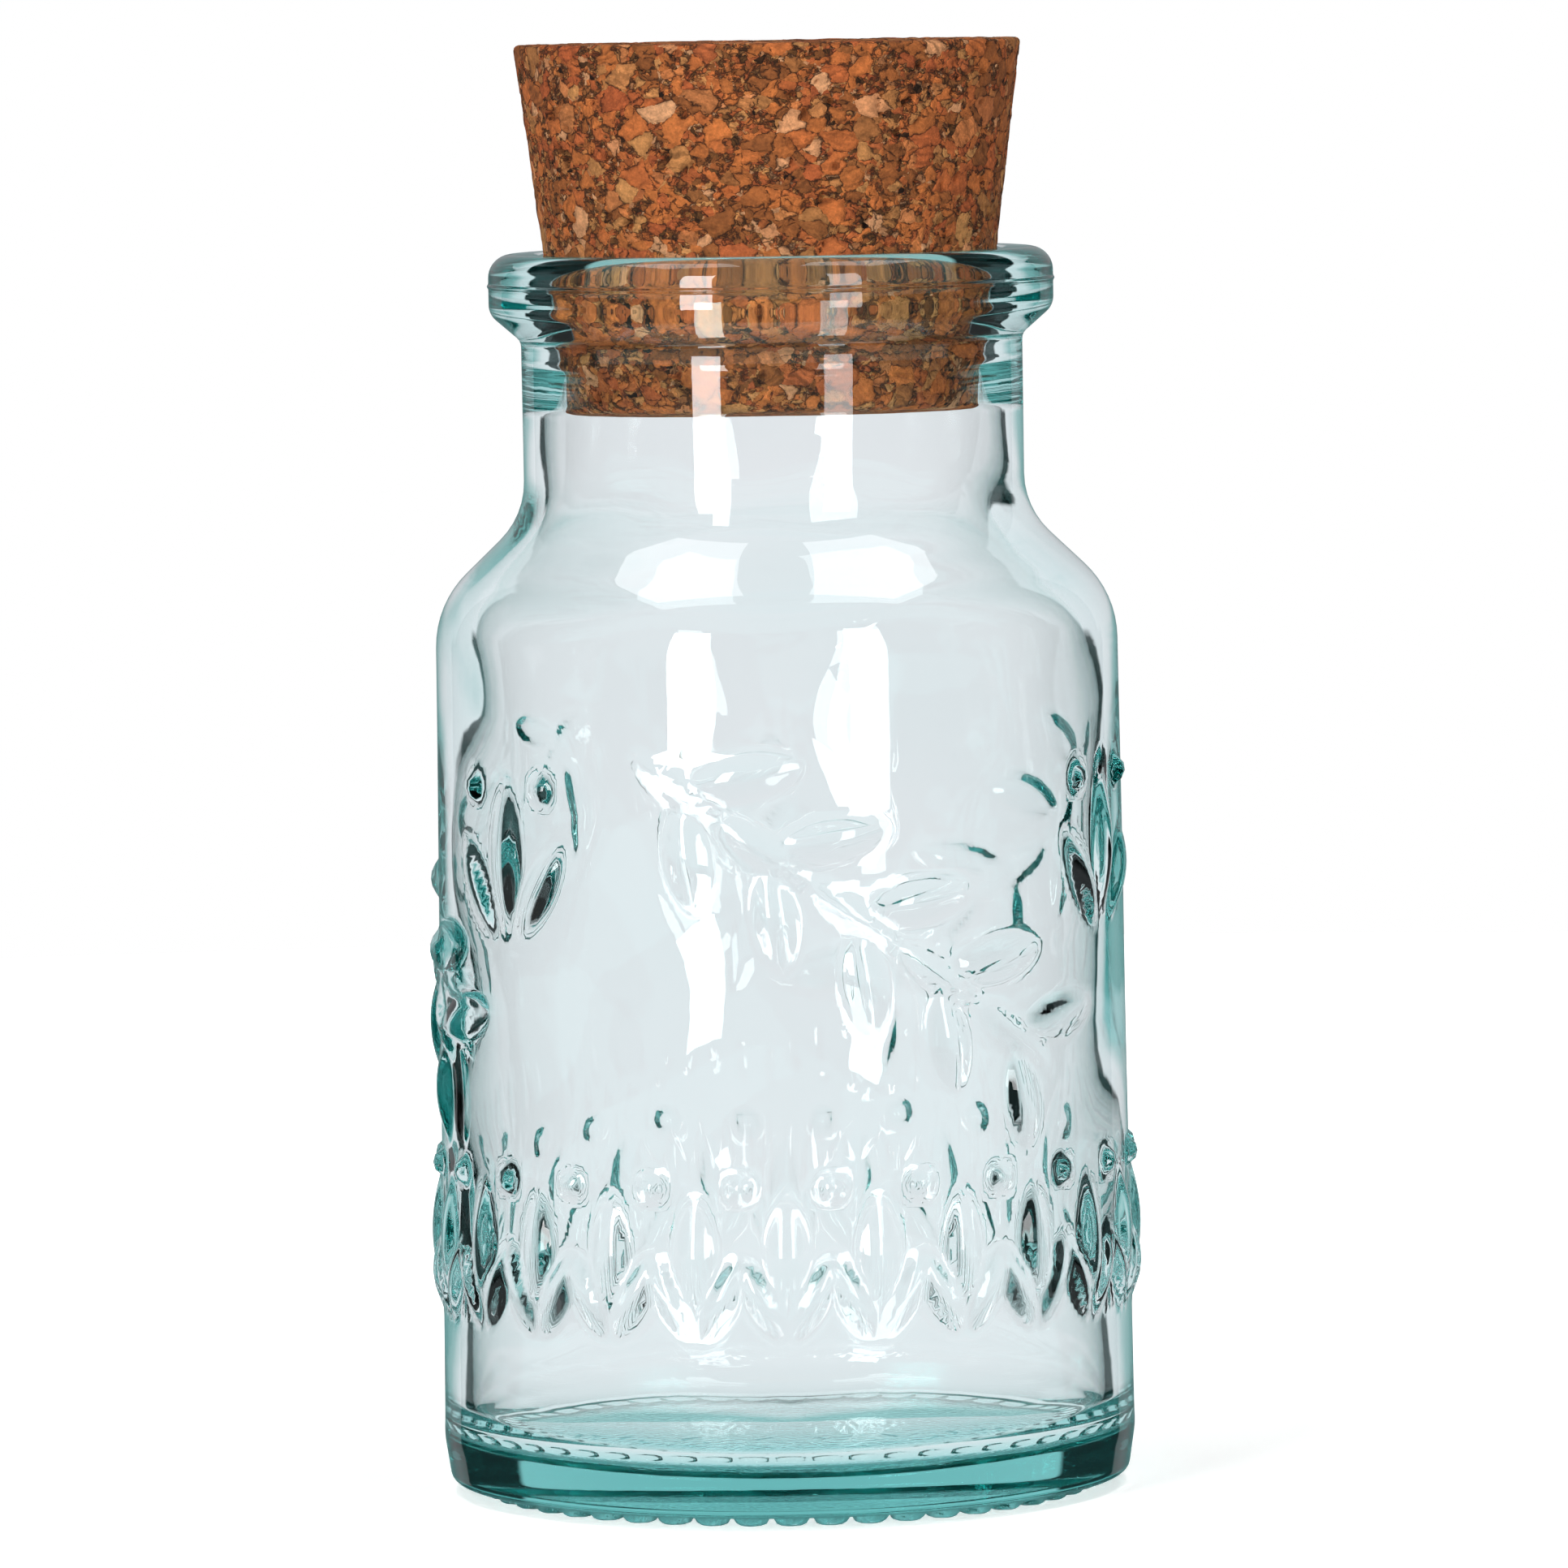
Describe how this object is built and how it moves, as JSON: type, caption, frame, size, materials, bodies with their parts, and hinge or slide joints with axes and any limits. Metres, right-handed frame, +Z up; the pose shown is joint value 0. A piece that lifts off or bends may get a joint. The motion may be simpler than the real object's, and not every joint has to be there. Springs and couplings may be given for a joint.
{
  "type": "glass jar with cork stopper",
  "caption": "Round-shouldered recycled-glass storage jar with a heavy rim, thick floor and raised leaf ornament, closed by a tapered cork stopper that lifts out.",
  "frame": {"origin": "middle of the base on the ground plane, under the jar's axis", "axes": "+Z up along the jar's axis; -Y is the side where the ornament's first sprig hangs"},
  "size_m": [0.0698, 0.0698, 0.1418],
  "materials": {
    "recycled_glass": "polished",
    "agglomerated_cork": "matte"
  },
  "bodies": {
    "jar": {"glass_jar": "recycled_glass"},
    "stopper": {"cork_stopper": "agglomerated_cork"}
  },
  "joints": [
    {"name": "cork_lift", "type": "slide", "parent": "jar", "child": "stopper", "axis": [0, 0, 1], "range_m": [0, 0.07]}
  ]
}
